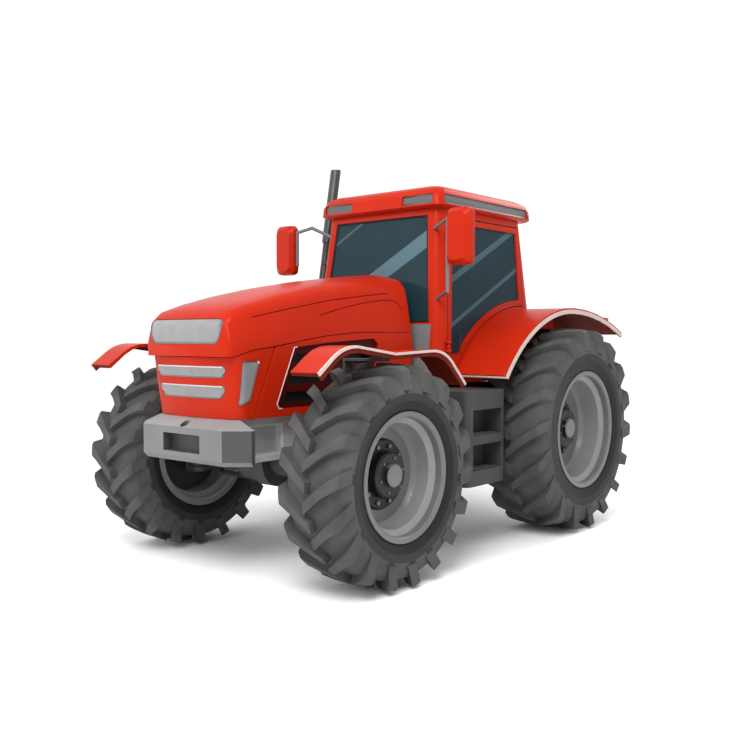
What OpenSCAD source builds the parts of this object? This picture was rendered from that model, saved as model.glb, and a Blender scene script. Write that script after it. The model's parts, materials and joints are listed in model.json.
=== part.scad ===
// Farm tractor, four-wheel drive, with cab, tilting bonnet, steered front axle and rear linkage.
// Millimetres. +Z is up, -Y is forwards and +X is the tractor's left.
// The modules work from the ground under the front axle's middle, and place() moves them to the
// origin, which is on the ground under the middle of the whole machine.

/* [Wheels] */
// Distance between the front and rear axles
wheelbase = 2380; // [2340:10:2500]
// Distance between the middles of the front tyres
front_track = 2030; // [2000:10:2100]
// Distance between the middles of the rear tyres
rear_track = 2060; // [2040:10:2120]
// Front tyre radius to the lug tips
front_tyre_r = 735; // [715:5:745]
// Rear tyre radius to the lug tips
rear_tyre_r = 855; // [830:5:870]
// Front tyre width
front_tyre_w = 500; // [460:10:510]
// Rear tyre width
rear_tyre_w = 580; // [520:10:600]
// Front rim radius at the bead seat
front_rim_r = 400; // [380:5:420]
// Rear rim radius at the bead seat
rear_rim_r = 465; // [440:5:485]
// Height of the lugs above the tyre's casing
lug_h = 58; // [40:2:70]
// Lugs on each half of a tyre
lugs = 18; // [14:1:20]
// Radius of the stub axles that carry the wheels
stub_r = 60; // [50:1:70]

/* [Front axle] */
// Distance of each kingpin from the middle
kingpin_x = 860; // [840:5:880]
// Radius of the kingpins
kingpin_r = 34; // [28:1:40]
// Radius of the axle beam beside its middle
axle_r = 105; // [85:5:120]
// Length of the steering arms
steer_arm = 205; // [195:5:215]

/* [Bonnet and nose] */
// Height of the front frame's top, which carries the nose and the side panels
frame_top = 1105; // [1090:5:1120]
// Half width of the front frame
frame_half_w = 340; // [300:5:350]
// Distance from the front axle forwards to the bumper's face
front_reach = 840; // [825:5:880]
// Thickness of the bonnet and its panels
panel_t = 18; // [12:1:24]
// Gap between neighbouring panels
panel_gap = 6; // [5:1:10]

/* [Cab] */
// Height of the cab's underside
cab_z0 = 1270; // [1255:5:1285]
// Height of the cab's top, under the roof
cab_z1 = 2655; // [2600:5:2720]
// Space between the cab's foot and the rear tyres
tyre_room = 40; // [30:5:50]
// How far each side of the cab leans inwards
cab_lean = 102; // [92:2:110]
// Thickness of the cab's posts and walls
cab_wall = 55; // [45:5:65]
// Thickness of the window glass
glass_t = 6; // [4:1:8]
// Height of the roof above the cab
roof_h = 176; // [150:2:200]

/* [Mudguards] */
// Thickness of the mudguards
guard_t = 20; // [12:1:26]
// Distance from the middle to the rear mudguards' outer edge
rear_guard_x = 1140; // [1100:5:1180]
// Distance from the middle to the front mudguards' inner edge
front_guard_x = 940; // [920:5:960]
// Width of the front mudguards
front_guard_w = 230; // [200:5:250]

/* [Rear linkage] */
// Radius of the holes in the lower links' ball ends
link_hole_r = 14.35; // [11:0.05:18.5]
// Radius of the drawbar's pin hole
drawbar_hole_r = 16.5; // [13:0.5:20]
// Radius of the power take-off shaft
pto_r = 17.5; // [17:0.25:22]
// Distance of the lower links from the middle
link_x = 400; // [380:5:420]

/* [Hidden] */
$fn = 48;

// Colours as the picture shows them
RED = [0.76, 0.10, 0.05];
DARK_RED = [0.36, 0.02, 0.02];
GREY = [0.60, 0.60, 0.61];
MID_GREY = [0.45, 0.46, 0.46];
CAST_GREY = [0.28, 0.28, 0.29];
RUBBER = [0.33, 0.33, 0.32];
RIM_GREY = [0.55, 0.55, 0.56];
GLASS = [0.20, 0.27, 0.31, 0.6];
BLACK = [0.10, 0.10, 0.10];

// Seats: pieces of one body that rest on each other are this far apart
seat_gap = 0.3;
// Running clearance of a pin in its hole
run_gap = 0.08;
// Clearance round pieces that move
move_gap = 8;

rear_y = wheelbase;
front_hub_z = front_tyre_r;
rear_hub_z = rear_tyre_r;
front_x = front_track / 2;
rear_x = rear_track / 2;
cab_half_w0 = rear_x - rear_tyre_w / 2 - tyre_room;
cab_half_w1 = cab_half_w0 - cab_lean;

// The rear mudguards' tail reaches furthest back
guard_tail = 1010;
guard_front = 1050;
front_axle_y = (front_reach - rear_y - guard_tail) / 2;
module place() { translate([0, front_axle_y, 0]) children(); }
module both_sides() { children(); mirror([1, 0, 0]) children(); }

function mix(a, b, t) = a + (b - a) * t;
// Move each point of an outline away from a middle point
function spread(list, mid, by) = [for (p = list) p + (p - mid) / norm(p - mid) * by];
function reversed(list) = [for (i = [len(list) - 1 : -1 : 0]) list[i]];
function arc(cx, cy, r, a0, a1, n) =
    [for (i = [0 : n]) let (a = mix(a0, a1, i / n)) [cx + r * cos(a), cy + r * sin(a)]];
function quad_curve(a, b, c, n) =
    [for (i = [0 : n]) let (t = i / n) a * (1 - t) * (1 - t) + b * 2 * t * (1 - t) + c * t * t];
// Rounded rectangle, counter-clockwise, with n steps in each corner
function round_rect(x0, x1, y0, y1, r, n = 4) = concat(
    arc(x1 - r, y0 + r, r, -90, 0, n), arc(x1 - r, y1 - r, r, 0, 90, n),
    arc(x0 + r, y1 - r, r, 90, 180, n), arc(x0 + r, y0 + r, r, 180, 270, n));

// An outline with its corners rounded over the length r
function soft(list, r) = let (n = len(list)) [for (i = [0 : n - 1])
    let (p = list[i], a = list[(i + n - 1) % n] - p, b = list[(i + 1) % n] - p)
    each quad_curve(p + r * a / norm(a), p, p + r * b / norm(b), 4)];

// Skin through closed loops of equally many points, each counter-clockwise seen from the last loop's end
module loft(loops) {
    n = len(loops[0]);
    m = len(loops);
    points = [for (l = loops) each l];
    sides = [for (k = [0 : m - 2], i = [0 : n - 1])
        let (j = (i + 1) % n, a = k * n + i, b = k * n + j, c = (k + 1) * n + j, d = (k + 1) * n + i)
        each [[a, d, c], [a, c, b]]];
    first = [for (i = [0 : n - 1]) i];
    last = [for (i = [n - 1 : -1 : 0]) (m - 1) * n + i];
    polyhedron(points, concat(sides, [first, last]));
}
// Loft upwards through plan outlines: each level is [z, outline]
module loft_up(levels) { loft([for (l = levels) [for (p = l[1]) [p[0], p[1], l[0]]]]); }
// A side-view outline of [y, z] points, drawn across from x0 to x1
module across(x0, x1) {
    translate([x0, 0, 0]) rotate([90, 0, 90]) linear_extrude(x1 - x0) children();
}
// A front-view outline of [x, z] points, drawn backwards from y0 to y1
module backwards(y0, y1) {
    translate([0, y1, 0]) rotate([90, 0, 0]) linear_extrude(y1 - y0) children();
}
// Round bar between two points
module bar(p, q, r) {
    v = q - p;
    length = norm(v);
    translate(p) rotate([0, acos(v[2] / length), atan2(v[1], v[0])]) cylinder(r = r, h = length);
}
// Block between two corners
module block(low, high) { translate(low) cube(high - low); }
// Cylinder along X from x0 to x1
module cross_cylinder(x0, x1, y, z, r) {
    translate([x0, y, z]) rotate([0, 90, 0]) cylinder(r = r, h = x1 - x0);
}

// Wheels: built about Z, with Z pointing outwards, then stood up on the left side
module stand_left(x, y, z) { translate([x, y, z]) rotate([0, 90, 0]) children(); }

// Casing of the tyre: a section open towards the rim, as [radius, height] points
module tyre_casing(tip_r, w, rim_r) {
    top = tip_r - lug_h;
    h = top - rim_r;
    outer = [
        [rim_r + seat_gap, w / 2 - 40], [rim_r + 30, w / 2 - 40], [rim_r + 48, w / 2 - 26],
        [rim_r + 0.34 * h, w / 2 - 12], [rim_r + 0.52 * h, w / 2 - 8], [rim_r + 0.72 * h, w / 2 - 14],
        [top - 0.13 * h, w / 2 - 30], [top - 10, w / 2 - 70], [top, w / 2 - 130], [top + 3, 0]];
    inner = [
        [top - 30, 0], [top - 34, w / 2 - 125], [top - 0.3 * h, w / 2 - 50],
        [rim_r + 0.45 * h, w / 2 - 38], [rim_r + 50, w / 2 - 62], [rim_r + seat_gap, w / 2 - 88]];
    half = concat(outer, inner);
    down = [for (p = half) [p[0], -p[1]]];
    rotate_extrude($fn = 96) polygon(concat(
        [for (p = outer) p], [for (i = [len(outer) - 2 : -1 : 0]) [outer[i][0], -outer[i][1]]],
        [for (i = [len(inner) - 1 : -1 : 0]) [inner[i][0], -inner[i][1]]],
        [for (i = [1 : len(inner) - 1]) inner[i]]));
}
// Ring that the lugs are cut from, reaching over the shoulders
module lug_ring(tip_r, w, rim_r) {
    top = tip_r - lug_h;
    foot = rim_r + 0.60 * (top - rim_r);
    half = [[tip_r, 0], [tip_r - 5, w / 4], [tip_r - 15, w / 2 - 22], [tip_r - 40, w / 2], [foot, w / 2 - 2]];
    rotate_extrude($fn = 96) polygon(concat(
        half, [[foot, w / 2 - 50], [top - 40, w / 2 - 120], [top - 40, -w / 2 + 120], [foot, -w / 2 + 50]],
        [for (i = [len(half) - 1 : -1 : 1]) [half[i][0], -half[i][1]]]));
}
// One lug seen from above: a bent bar from the middle of the tread out over the shoulder
module lug_bar(tip_r, w, rim_r) {
    sweep = 0.36 * w;
    translate([rim_r + 60, 0, 0]) rotate([90, 0, 90]) linear_extrude(tip_r - rim_r)
        polygon([
            [34, -14], [30 - 0.62 * sweep, 0.28 * w], [38 - sweep, w / 2 + 8],
            [-46 - sweep, w / 2 + 8], [-44 - 0.62 * sweep, 0.28 * w], [-34, -14]]);
}
module tyre(tip_r, w, rim_r) {
    color(RUBBER) union() {
        tyre_casing(tip_r, w, rim_r);
        intersection() {
            lug_ring(tip_r, w, rim_r);
            union() for (i = [0 : lugs - 1]) {
                rotate(360 / lugs * i) lug_bar(tip_r, w, rim_r);
                rotate(360 / lugs * (i + 0.5)) mirror([0, 0, 1]) lug_bar(tip_r, w, rim_r);
            }
        }
    }
}
// Deep rim with its disc, hub drum and cap; the bore for the stub axle is open on the inner side
module rim(w, rim_r, disc, hub_r) {
    b = w / 2 - 40 + seat_gap;
    color(RIM_GREY) rotate_extrude($fn = 96) polygon([
        [rim_r + 26, b], [rim_r + 26, b + 12], [rim_r - 4, b + 13], [rim_r - 15, b + 2],
        [rim_r - 15, b - 48], [rim_r - 54, b - 76], [rim_r - 54, disc + 60], [rim_r - 80, disc + 12],
        [hub_r + 82, disc + 12], [hub_r + 70, disc + 30], [hub_r, disc + 30],
        [hub_r, disc + 92], [hub_r - 14, disc + 104],
        [hub_r / 2, disc + 104], [hub_r / 2, disc + 132], [hub_r / 2 - 8, disc + 140], [0, disc + 140],
        [0, disc + 80], [stub_r + run_gap, disc + 80], [stub_r + run_gap, disc - 20], [hub_r - 10, disc - 20],
        [hub_r - 10, disc - 6], [rim_r - 90, disc - 6], [rim_r - 66, disc + 36], [rim_r - 66, 76 - b],
        [rim_r - 27, 48 - b], [rim_r - 27, -b - 2], [rim_r - 14, -b - 13], [rim_r + 26, -b - 12],
        [rim_r + 26, -b], [rim_r, -b], [rim_r, 52 - b], [rim_r - 42, 80 - b],
        [rim_r - 42, b - 80], [rim_r, b - 52], [rim_r, b]]);
}
front_disc = -15;
rear_disc = -20;
front_hub_r = 155;
rear_hub_r = 170;
module front_left_spot() { place() stand_left(front_x, 0, front_hub_z) children(); }
module rear_left_spot() { place() stand_left(rear_x, rear_y, rear_hub_z) children(); }
module tyre_front_left() { front_left_spot() tyre(front_tyre_r, front_tyre_w, front_rim_r); }
module tyre_front_right() { mirror([1, 0, 0]) tyre_front_left(); }
module tyre_rear_left() { rear_left_spot() tyre(rear_tyre_r, rear_tyre_w, rear_rim_r); }
module tyre_rear_right() { mirror([1, 0, 0]) tyre_rear_left(); }
module rim_front_left() { front_left_spot() rim(front_tyre_w, front_rim_r, front_disc, front_hub_r); }
module rim_front_right() { mirror([1, 0, 0]) rim_front_left(); }
module rim_rear_left() { rear_left_spot() rim(rear_tyre_w, rear_rim_r, rear_disc, rear_hub_r); }
module rim_rear_right() { mirror([1, 0, 0]) rim_rear_left(); }

// Front axle: beam with a round middle and a boss at each end for the kingpin
boss_h = 230;
boss_r = 62;
module front_axle() {
    color(CAST_GREY) place() difference() {
        union() {
            cross_cylinder(-kingpin_x, kingpin_x, 0, front_hub_z, axle_r - 30);
            cross_cylinder(-520, 520, 0, front_hub_z, axle_r);
            cross_cylinder(-230, -20, 0, front_hub_z, axle_r + 55);
            both_sides() translate([kingpin_x, 0, front_hub_z - boss_h / 2])
                cylinder(r = boss_r, h = boss_h);
            cross_cylinder(-70, 70, 0, front_hub_z, arch_r - seat_gap);
        }
        both_sides() translate([kingpin_x, 0, front_hub_z - boss_h])
            cylinder(r = kingpin_r + run_gap, h = 2 * boss_h);
    }
}
// Steering knuckle: ears over and under the axle's boss, the kingpin, the stub axle and the steering arm
ear_t = 40;
tie_z = front_hub_z - boss_h / 2 - move_gap - ear_t / 2;
module knuckle_left() {
    top = front_hub_z + boss_h / 2 + move_gap;
    bottom = front_hub_z - boss_h / 2 - move_gap;
    back = kingpin_x + boss_r + move_gap + 6;
    stub_end = front_x + front_disc + 78;
    color(CAST_GREY) place() difference() {
        union() {
            for (z = [top, bottom - ear_t]) {
                translate([kingpin_x, 0, z]) cylinder(r = 58, h = ear_t);
                block([kingpin_x, -58, z], [back + 30, 58, z + ear_t]);
            }
            translate([kingpin_x, 0, bottom - ear_t]) cylinder(r = kingpin_r, h = top - bottom + 2 * ear_t);
            block([back, -58, bottom - ear_t], [back + 30, 58, top + ear_t]);
            cross_cylinder(back, front_x + front_disc - 26, 0, front_hub_z, 100);
            cross_cylinder(back, stub_end, 0, front_hub_z, stub_r);
            block([kingpin_x - 30, 0, bottom - ear_t], [kingpin_x + 30, steer_arm, bottom]);
            translate([kingpin_x, steer_arm, bottom - ear_t]) cylinder(r = 40, h = ear_t);
            // Carrier of the mudguard: out past the tyre's inner side, up and across under the guard
            block([guard_post_x, -45, top], [kingpin_x, 45, top + 30]);
            block([guard_post_x, -45, top], [guard_post_x + 18, 45, guard_seat_z - 20]);
            block([guard_post_x, -45, guard_seat_z - 38], [front_guard_x + 120, 45, guard_seat_z - 20]);
            block([front_guard_x + 20, -45, guard_seat_z - 38], [front_guard_x + 120, 45, guard_seat_z]);
        }
        translate([kingpin_x, steer_arm, 0]) cylinder(r = 16 + run_gap, h = 2 * front_hub_z);
    }
}
module knuckle_right() { mirror([1, 0, 0]) knuckle_left(); }
guard_post_x = front_x - front_tyre_w / 2 - 48;

// Tie rod between the steering arms, with a pin up through each arm's end
module tie_rod() {
    bottom = tie_z - ear_t / 2 - move_gap;
    color(CAST_GREY) place() union() {
        bar([-kingpin_x, steer_arm, bottom - 24], [kingpin_x, steer_arm, bottom - 24], 20);
        both_sides() {
            translate([kingpin_x, steer_arm, bottom - 48]) cylinder(r = 30, h = 48);
            translate([kingpin_x, steer_arm, bottom - 48]) cylinder(r = 16, h = ear_t + move_gap + 56);
        }
    }
}

// Front mudguard: a bent sheet over the tyre, seen from the side as [y, z] about the hub
guard_lift = 42;
function guard_line(off) = let (r = front_tyre_r + guard_lift + off) concat(
    [[-0.955 * r, 0.868 * r - 4 + off * 0.3]],
    quad_curve([-0.80 * r, 0.985 * r], [-0.68 * r, 1.075 * r], [-0.52 * r, 1.068 * r], 3),
    [[-0.05 * r, 1.004 * r]],
    quad_curve([0.44 * r, 1.022 * r], [0.62 * r, 1.03 * r], [0.74 * r, 0.92 * r], 3),
    [[0.95 * r, 0.715 * r]]);
guard_seat_z = front_hub_z + (front_tyre_r + guard_lift) * 1.004 - seat_gap;
module front_guard_left() {
    low = guard_line(0);
    high = guard_line(guard_t);
    color(RED) place() translate([0, 0, front_hub_z]) difference() {
        union() {
            across(front_guard_x, front_guard_x + front_guard_w) polygon(concat(low, reversed(high)));
            across(front_guard_x + front_guard_w - 12, front_guard_x + front_guard_w)
                polygon(concat(guard_line(-22), reversed(high)));
        }
    }
}
module front_guard_right() { mirror([1, 0, 0]) front_guard_left(); }

// Front frame: a casting that arches over the axle
arch_r = axle_r + 80;
frame_y0 = 150 - front_reach;
frame_y1 = 350;
module front_frame() {
    color(CAST_GREY) place() difference() {
        block([-frame_half_w, frame_y0 + seat_gap, 800], [frame_half_w, frame_y1, frame_top]);
        cross_cylinder(-frame_half_w - 1, frame_half_w + 1, 0, front_hub_z, arch_r);
        both_sides() block([frame_half_w - 60, frame_y0 + 90, 850], [frame_half_w + 1, -arch_r - 60, 1040]);
    }
}
// Engine: one plain block that stands on the frame, with its sump behind it
engine_y1 = 850;
module engine_block() {
    color(CAST_GREY) place() union() {
        block([-250, -150, frame_top + seat_gap], [250, engine_y1, 1560]);
        block([-180, 0, 1500], [180, engine_y1 - 120, 1680]);
        block([-250, frame_y1 + seat_gap, 620], [250, engine_y1, frame_top + 10]);
    }
}
// Gearbox and clutch housing, down the middle of the tractor to the rear axle
module gearbox() {
    color(CAST_GREY) place() union() {
        block([-225, engine_y1 + seat_gap, 560], [225, rear_y - 305, 1130]);
        block([-300, rear_y - 400, 560], [300, rear_y - 280, 1160]);
        // Arms and rubber mounts under the cab's front
        both_sides() {
            block([200, cab_front_y + 60, 1010], [560, cab_front_y + 180, 1090]);
            translate([490, cab_front_y + 120, 1080]) cylinder(r = 62, h = cab_z0 - 1080 - seat_gap);
        }
    }
}
// Rear linkage: lower links, lift rods and lift arms make a parallelogram on each side
link_y = rear_y + 120;
link_z = rear_hub_z - 255;
link_len = 800;
rod_len = 420;
rock_y = rear_y + 180;
rock_z = rear_hub_z + 325;
rock_r = 35;
link_pin_r = 13;
link_t = 30;
link_in_x = link_x - link_t / 2;
// Rear axle: middle housing, trumpets, shafts into the hubs and the mounts under the cab's rear
module rear_axle() {
    z = rear_hub_z;
    flange = rear_x + rear_disc - 30;
    ear_x = link_in_x - move_gap - 20;
    color(CAST_GREY) place() difference() {
        union() {
            block([-300, rear_y - 280 + seat_gap, z - 295], [300, rear_y + 260, z + 305]);
            cross_cylinder(-flange + 60, flange - 60, rear_y, z, 125);
            both_sides() {
                cross_cylinder(280, 470, rear_y, z, 175);
                cross_cylinder(flange - 90, flange, rear_y, z, 150);
                cross_cylinder(flange - 10, rear_x + rear_disc + 78, rear_y, z, stub_r);
                block([430, rear_y - 70, z], [560, rear_y + 70, 1200]);
                translate([490, rear_y, 1190]) cylinder(r = 62, h = cab_z0 - 1190 - seat_gap);
                // Rockshaft bearing, and the ear that the lower link hangs on
                cross_cylinder(240, 340, rock_y, rock_z, 70);
                block([ear_x, link_y - 45, link_z - 45], [ear_x + 20, link_y + 45, z - 35]);
                block([280, link_y - 45, z - 155], [ear_x + 10, link_y + 45, z - 35]);
            }
            block([-250, rear_y + 60, z + 245], [250, rock_y, rock_z + 40]);
            // Plate for the top link, with its two ears
            block([-110, rear_y + 250, z + 45], [110, rear_y + 300, z + 265]);
            both_sides() block([32, rear_y + 290, z + 125], [54, rear_y + 390, z + 255]);
            // Power take-off housing and shaft
            translate([0, rear_y + 250, z - 175]) rotate([-90, 0, 0]) cylinder(r = 85, h = 40);
            translate([0, rear_y + 250, z - 175]) rotate([-90, 0, 0]) cylinder(r = pto_r, h = 130);
            // Hanger of the drawbar
            block([-90, rear_y - 100, z - 395], [90, rear_y + 200, z - 285]);
        }
        cross_cylinder(-400, 400, rock_y, rock_z, rock_r + run_gap);
        cross_cylinder(-60, 60, rear_y + 345, z + 190, 12.75);
        cross_cylinder(-500, 500, link_y, link_z, link_pin_r + run_gap);
    }
}
// Drawbar under the rear axle, with its pin hole
module drawbar() {
    z = rear_hub_z - 430;
    color(CAST_GREY) place() difference() {
        union() {
            block([-45, rear_y - 100, z], [45, rear_y + 590, z + 35 - seat_gap]);
            translate([0, rear_y + 590, z]) cylinder(r = 45, h = 35 - seat_gap);
        }
        translate([0, rear_y + 590, z - 25]) cylinder(r = drawbar_hole_r, h = 100);
    }
}
// Rockshaft with a lift arm at each end
module lift_arms() {
    color(CAST_GREY) place() difference() {
        union() {
            cross_cylinder(-link_x, link_x, rock_y, rock_z, rock_r);
            both_sides() {
                cross_cylinder(link_in_x, link_in_x + link_t, rock_y, rock_z, 60);
                block([link_in_x, rock_y, rock_z - 35], [link_in_x + link_t, rock_y + rod_len, rock_z + 35]);
                cross_cylinder(link_in_x, link_in_x + link_t, rock_y + rod_len, rock_z, 38);
            }
        }
        cross_cylinder(-500, 500, rock_y + rod_len, rock_z, link_pin_r + run_gap);
    }
}
// Lift rods outside the arms and links, each with a pin inwards at both ends
module lift_rods() {
    x = link_in_x + link_t + move_gap;
    top = [x + 12, rock_y + rod_len, rock_z];
    foot = [x + 12, link_y + rod_len, link_z];
    color(CAST_GREY) place() both_sides() union() {
        bar(foot, top, 20);
        for (p = [top, foot]) {
            cross_cylinder(x, x + 24, p[1], p[2], 34);
            cross_cylinder(link_in_x, x + 10, p[1], p[2], link_pin_r);
        }
    }
}
// Lower links with their pivot pins and ball-end holes
module lower_links() {
    color(CAST_GREY) place() both_sides() difference() {
        union() {
            block([link_in_x, link_y, link_z - 32], [link_in_x + link_t, link_y + link_len, link_z + 32]);
            cross_cylinder(link_in_x, link_in_x + link_t, link_y, link_z, 44);
            cross_cylinder(link_in_x, link_in_x + link_t, link_y + rod_len, link_z, 40);
            cross_cylinder(link_in_x - 5, link_in_x + link_t + 5, link_y + link_len, link_z, 44);
            cross_cylinder(link_in_x - move_gap - 24, link_in_x + 5, link_y, link_z, link_pin_r);
        }
        cross_cylinder(0, 500, link_y + rod_len, link_z, link_pin_r + run_gap);
        cross_cylinder(0, 500, link_y + link_len, link_z, link_hole_r);
    }
}

// Bumper: flat front with bevelled corners, a bevelled top and a pocket with a drop-pin hole
bumper_half_w = 410;
bumper_corner_x = 555;
function bumper_outline(in) = let (f = -front_reach + in, c = bumper_corner_x - in * 0.6) [
    [-bumper_half_w + in * 0.5, f], [bumper_half_w - in * 0.5, f], [c, f + 120], [c, frame_y0],
    [-c, frame_y0], [-c, f + 120]];
module front_bumper() {
    color(GREY) place() difference() {
        loft_up([[815, bumper_outline(24)], [845, bumper_outline(0)], [1045, bumper_outline(0)],
            [frame_top - 2, bumper_outline(100)]]);
        block([-190, -front_reach - 10, 880], [190, -front_reach + 70, 1000]);
        translate([0, -front_reach + 38, 700]) cylinder(r = 16, h = 400);
        translate([0, -front_reach + 38, 1044]) cylinder(r = 34, h = 100);
    }
}

// Nose: bowed front that leans forwards towards its top, as plan outlines
nose_top = 1500;
nose_z0 = frame_top + seat_gap;
function nose_outline(t, g) = let (
    w = mix(425, 438, t) + g, f = mix(-745, -795, t) - g, b = 26, r = 95) concat(
    [[-w, -250]], arc(-w + r, f + b + r, r, 180, 265, 4),
    [for (k = [-0.5, 0, 0.5]) [k * w, f + b * k * k * 1.6]],
    arc(w - r, f + b + r, r, 275, 360, 4), [[w, -250]]);
module nose_solid(g, z0 = nose_z0, z1 = nose_top + 90) {
    loft_up([for (z = [z0, mix(z0, z1, 0.5), z1])
        [z, nose_outline((z - nose_z0) / (nose_top - nose_z0), g)]]);
}
// Side-view line of the bonnet's lower edge
seam = [[-900, 1506], [-760, 1512], [-590, 1556], [-410, 1578], [-170, 1613], [90, 1648], [350, 1668],
    [560, 1674], [1200, 1674]];
// Side-view line of the joint between the nose and the side panels
nose_seam = [[-585, nose_z0], [-405, 1578]];
module nose_region(out) {
    across(-600, 600) polygon([
        [-1000, nose_z0 - 200], [nose_seam[0][0] - 80 - out, nose_z0 - 200], [nose_seam[0][0] - out, nose_z0],
        [nose_seam[1][0] - out, seam[3][1] - panel_gap], seam[2] - [0, panel_gap], seam[1] - [0, panel_gap],
        seam[0] - [100, panel_gap]]);
}
// Grey slots in the nose's front and lamps on its corners
module slot_outlines(in) {
    backwards(-1000, -500) {
        polygon(soft([[-368 + in, 1448 - in], [368 - in, 1448 - in], [330 - in, 1372 + in], [-330 + in, 1372 + in]], 32));
        polygon(soft([[-350 + in, 1322 - in], [350 - in, 1322 - in], [300 - in, 1236 + in], [-300 + in, 1236 + in]], 36));
    }
}
module corner_outlines(in) {
    across(-600, 600) polygon(soft([
        [-685 + in, 1482 - in], [-540 - in, 1482 - in], [-618 - in, 1228 + in], [-697 + in, 1190 + in]], 18));
}
module nose_panel() {
    color(RED) place() difference() {
        intersection() { nose_solid(0); nose_region(panel_gap / 2); }
        nose_solid(-panel_t, nose_z0 - 40, nose_top + 130);
        slot_outlines(0);
        difference() { corner_outlines(0); block([-380, -900, 1000], [380, -400, 1600]); }
    }
}
// The lamps fill the openings and stand a little proud; a strip behind ties each to the nose
module nose_lamps() {
    color(GREY) place() difference() {
        intersection() {
            nose_solid(4);
            union() {
                slot_outlines(seat_gap);
                difference() { corner_outlines(seat_gap); block([-381, -900, 1000], [381, -400, 1600]); }
            }
        }
        nose_solid(-panel_t, nose_z0 - 40, nose_top + 130);
    }
}

// Bonnet: stations from front to rear as [y, foot x, belt x, shoulder x, shoulder z, crown z]
stations = [
    [-806, 372, 378, 330, 1690, 1702], [-798, 400, 406, 362, 1722, 1736],
    [-774, 420, 428, 388, 1757, 1774], [-715, 428, 440, 402, 1803, 1822],
    [-560, 432, 446, 407, 1852, 1874], [-300, 436, 452, 408, 1914, 1942],
    [0, 441, 460, 408, 1974, 2006], [300, 446, 468, 408, 2012, 2056],
    [600, 451, 478, 409, 2036, 2094], [1020, 458, 492, 411, 2040, 2136]];
belt_z = 1600;
function bonnet_half(s, g) = let (
    belt = [s[2] + g, belt_z], top = [s[3] + g, s[4] + g], crown = s[5] + g,
    a = mix(top, belt, 0.22), b = [top[0] * 0.84, mix(top[1], crown, 0.42)],
    edge = quad_curve(a, top, b, 3)) concat(
    [[s[1] + g, g < 0 ? frame_top - 60 : frame_top + seat_gap], belt], edge,
    [for (k = [0.62, 0.3]) [b[0] * k, crown - (crown - b[1]) * k * k]]);
function bonnet_loop(s, g) = let (half = bonnet_half(s, g)) concat(
    [for (p = half) [-p[0], s[0] - g, p[1]]], [[0, s[0] - g, s[5] + g]],
    [for (p = reversed(half)) [p[0], s[0] - g, p[1]]]);
module bonnet_solid(g) { loft([for (s = stations) bonnet_loop(s, g)]); }
module bonnet_shell() { difference() { bonnet_solid(0); bonnet_solid(-panel_t); } }
hinge_y = 985;
hinge_z = 2058;
hinge_r = 12;
module lamp_outline(in) {
    backwards(-1000, -600) polygon(soft([
        [-382 + in, 1756 - in], [382 - in, 1756 - in], [346 - in, 1592 + in], [-346 + in, 1592 + in]], 62));
}
module bonnet() {
    color(RED) place() difference() {
        union() {
            intersection() {
                bonnet_shell();
                across(-600, 600) polygon(concat(seam, [[1200, 2400], [-900, 2400]]));
            }
            // Hinge eyes under the crown
            both_sides() {
                cross_cylinder(180, 220, hinge_y, hinge_z, 26);
                block([180, hinge_y - 40, hinge_z], [220, hinge_y + 20, hinge_z + 42]);
            }
        }
        cross_cylinder(-300, 300, hinge_y, hinge_z, hinge_r + run_gap);
        difference() { lamp_outline(0); bonnet_solid(-12); }
    }
}
module headlamp() {
    color(GREY) place() difference() {
        intersection() { bonnet_solid(3); lamp_outline(seat_gap); }
        bonnet_solid(-12 + seat_gap);
    }
}
// Side panels below the bonnet, with an opening for the louvres
louvre = [[-235, 1566], [-385, 1190], [-365, 1158], [540, 1158], [590, 1205], [612, 1585], [570, 1624],
    [100, 1598]];
module side_panel(side) {
    x0 = side > 0 ? 200 : -600;
    color(RED) place() union() {
        difference() {
            intersection() {
                bonnet_shell();
                across(x0, x0 + 400) polygon(concat(
                    [[nose_seam[0][0] + panel_gap / 2, frame_top], [1200, frame_top]],
                    [for (i = [len(seam) - 1 : -1 : 4]) [seam[i][0], seam[i][1] - panel_gap]],
                    [[nose_seam[1][0] + panel_gap / 2 + 4, 1572]]));
            }
            across(-600, 600) polygon(louvre);
        }
        // Flange that stands on the front frame
        block([side > 0 ? 285 : -428, -480, frame_top + seat_gap], [side > 0 ? 428 : -285, 330, frame_top + 14]);
    }
}
module side_panel_left() { side_panel(1); }
module side_panel_right() { side_panel(-1); }
// Louvres: a dark plate set back in each side panel's opening, with three slots
module side_louvres() {
    color(DARK_RED) place() intersection() {
        difference() {
            bonnet_solid(-panel_t - seat_gap);
            bonnet_solid(-panel_t - 22);
            for (k = [0 : 2]) across(-600, 600) polygon([
                [-325 + 50 * k, 1186 + 130 * k], [-285 + 42 * k, 1266 + 128 * k], [560, 1268 + 128 * k],
                [540, 1186 + 130 * k]]);
        }
        difference() {
            across(-600, 600) polygon(spread(louvre, [110, 1370], 26));
            block([-300, -600, 1000], [300, 800, 1800]);
        }
    }
}

// Cab: a hollow shell that narrows towards the top; g moves its faces outwards
cab_front_y = rear_y - 1305;
cab_front_top_y = rear_y - 1155;
cab_rear_y = rear_y + 225;
cab_rear_top_y = rear_y + 90;
function cab_t(z) = (z - cab_z0) / (cab_z1 - cab_z0);
function cab_half_w(z) = mix(cab_half_w0, cab_half_w1, cab_t(z));
function cab_outline(z, g) = let (w = cab_half_w(z) + g, t = cab_t(z)) round_rect(-w, w,
    mix(cab_front_y, cab_front_top_y, t) - g, mix(cab_rear_y, cab_rear_top_y, t) + g, 90 + g / 2);
module cab_solid(g, z0 = cab_z0, z1 = cab_z1) {
    loft_up([[z0, cab_outline(z0, g)], [z1, cab_outline(z1, g)]]);
}
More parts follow.
